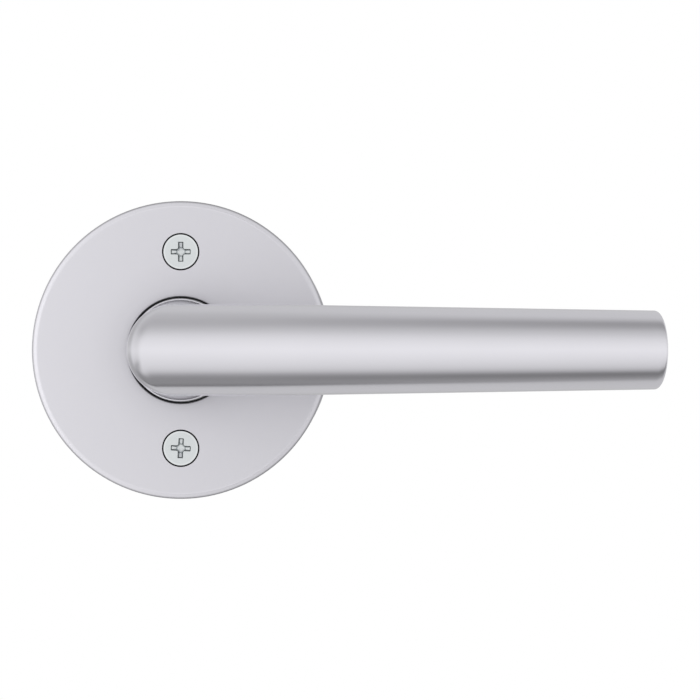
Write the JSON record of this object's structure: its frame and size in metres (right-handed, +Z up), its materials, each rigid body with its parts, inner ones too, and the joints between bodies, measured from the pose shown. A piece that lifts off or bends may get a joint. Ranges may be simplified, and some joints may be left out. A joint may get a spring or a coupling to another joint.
{
  "type": "passage lever lockset",
  "caption": "Door lever set: round roses, slim tubular levers with a tight elbow, square spindle, sprung return and through-bolted trim.",
  "frame": {"origin": "where the spindle axis crosses the door's inside face", "axes": "+Z up, +X along the levers from the spindle, +Y through the door from the inside face to the outside face"},
  "size_m": [0.1389, 0.1546, 0.0666],
  "materials": {
    "satin_chrome": "satin chrome plate on cast zinc and pressed steel",
    "zinc_plated_screw": "bright zinc plate",
    "zinc_plated_steel": "zinc plate, matt",
    "pressed_steel": "plain pressed steel, oiled",
    "rivet_steel": "zinc plate",
    "hardened_steel": "hardened, fine ground",
    "sintered_steel": "sintered, matt grey",
    "spring_steel": "drawn wire, dark oil finish",
    "bar_steel": "drawn bar, zinc plate",
    "bronze": "oil-filled bronze, matt",
    "acetal": "black moulded acetal"
  },
  "bodies": {
    "root": {"inside_rose": "satin_chrome", "inside_mounting_plate": "zinc_plated_steel", "inside_plate_bushing": "bronze", "inside_rose_bearing": "acetal", "inside_spring_cage": "pressed_steel", "inside_cage_rivets": "rivet_steel", "inside_return_spring": "spring_steel", "outside_rose": "satin_chrome", "outside_mounting_plate": "zinc_plated_steel", "outside_plate_bushing": "bronze", "outside_rose_bearing": "acetal", "outside_spring_cage": "pressed_steel", "outside_cage_rivets": "rivet_steel", "outside_return_spring": "spring_steel", "outside_posts": "zinc_plated_steel", "mounting_screws": "zinc_plated_screw"},
    "inside_handle": {"inside_lever": "satin_chrome", "inside_hub": "sintered_steel", "inside_driver": "hardened_steel", "inside_thrust_washer": "bronze", "inside_retaining_ring": "spring_steel", "inside_catch_spring": "spring_steel", "spindle": "bar_steel"},
    "outside_handle": {"outside_lever": "satin_chrome", "outside_hub": "sintered_steel", "outside_driver": "hardened_steel", "outside_thrust_washer": "bronze", "outside_retaining_ring": "spring_steel", "outside_catch_spring": "spring_steel"},
    "inside_catch": {"inside_lever_catch": "hardened_steel"},
    "outside_catch": {"outside_lever_catch": "hardened_steel"}
  },
  "joints": [
    {"name": "inside_lever_turn", "type": "hinge", "parent": "root", "child": "inside_handle", "pos_m": [0, 0, 0], "axis": [0, 1, 0], "range_deg": [-50, 50], "stiffness_Nm_per_rad": 2, "springref_deg": -3.27, "deforming": ["inside_return_spring"]},
    {"name": "outside_lever_turn", "type": "hinge", "parent": "root", "child": "outside_handle", "pos_m": [0, 0.035, 0], "axis": [0, 1, 0], "range_deg": [-50, 50], "stiffness_Nm_per_rad": 2, "springref_deg": -3.27, "deforming": ["outside_return_spring"]},
    {"name": "inside_catch_press", "type": "slide", "parent": "inside_handle", "child": "inside_catch", "axis": [1, 0, 0], "range_m": [0, 0.002], "stiffness_N_per_m": 300, "springref_m": -0.003, "deforming": ["inside_catch_spring"]},
    {"name": "outside_catch_press", "type": "slide", "parent": "outside_handle", "child": "outside_catch", "axis": [1, 0, 0], "range_m": [0, 0.002], "stiffness_N_per_m": 300, "springref_m": -0.003, "deforming": ["outside_catch_spring"]}
  ],
  "couplings": [
    {"joint": "outside_lever_turn", "follows": "inside_lever_turn", "ratio": 1}
  ]
}
